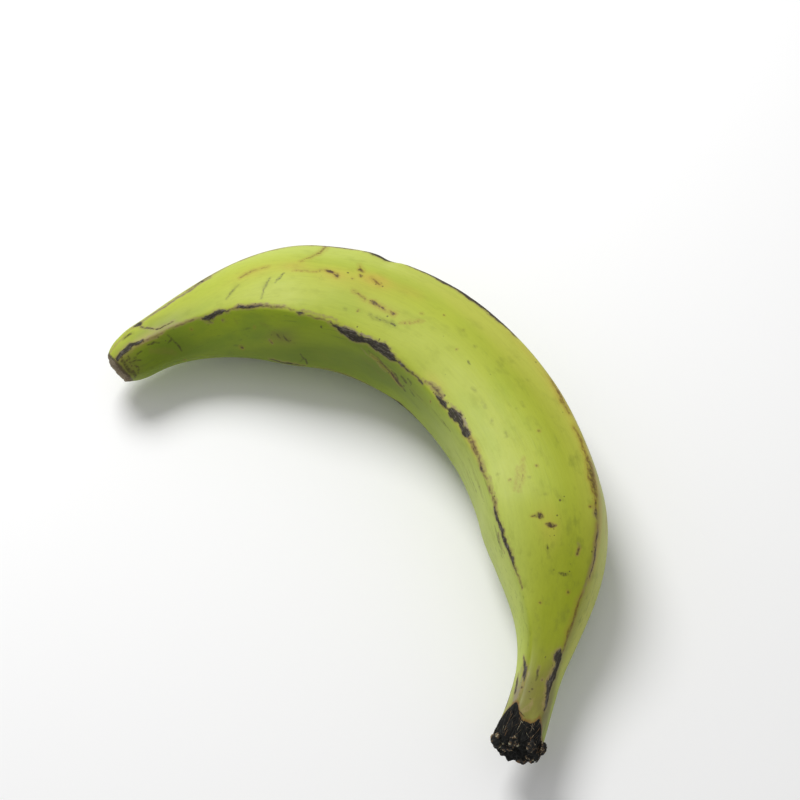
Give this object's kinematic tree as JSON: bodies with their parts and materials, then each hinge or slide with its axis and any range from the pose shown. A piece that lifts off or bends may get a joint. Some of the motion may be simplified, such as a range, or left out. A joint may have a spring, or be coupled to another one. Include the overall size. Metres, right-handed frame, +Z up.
{
  "type": "plantain",
  "caption": "Whole unripe plantain lying on its side: a curved, ridged fruit with a blunt blossom tip and a torn stalk end.",
  "frame": {"origin": "middle of the fruit's footprint, on the surface it lies on", "axes": "+X from the blossom tip towards the stalk end, along the chord; +Y towards the outside of the bend; +Z up"},
  "size_m": [0.2242, 0.1136, 0.0397],
  "materials": {
    "plantain_skin": "satin, unripe yellow-green skin with brown and black scars on the ridges"
  },
  "bodies": {
    "root": {"plantain": "plantain_skin"}
  },
  "joints": []
}
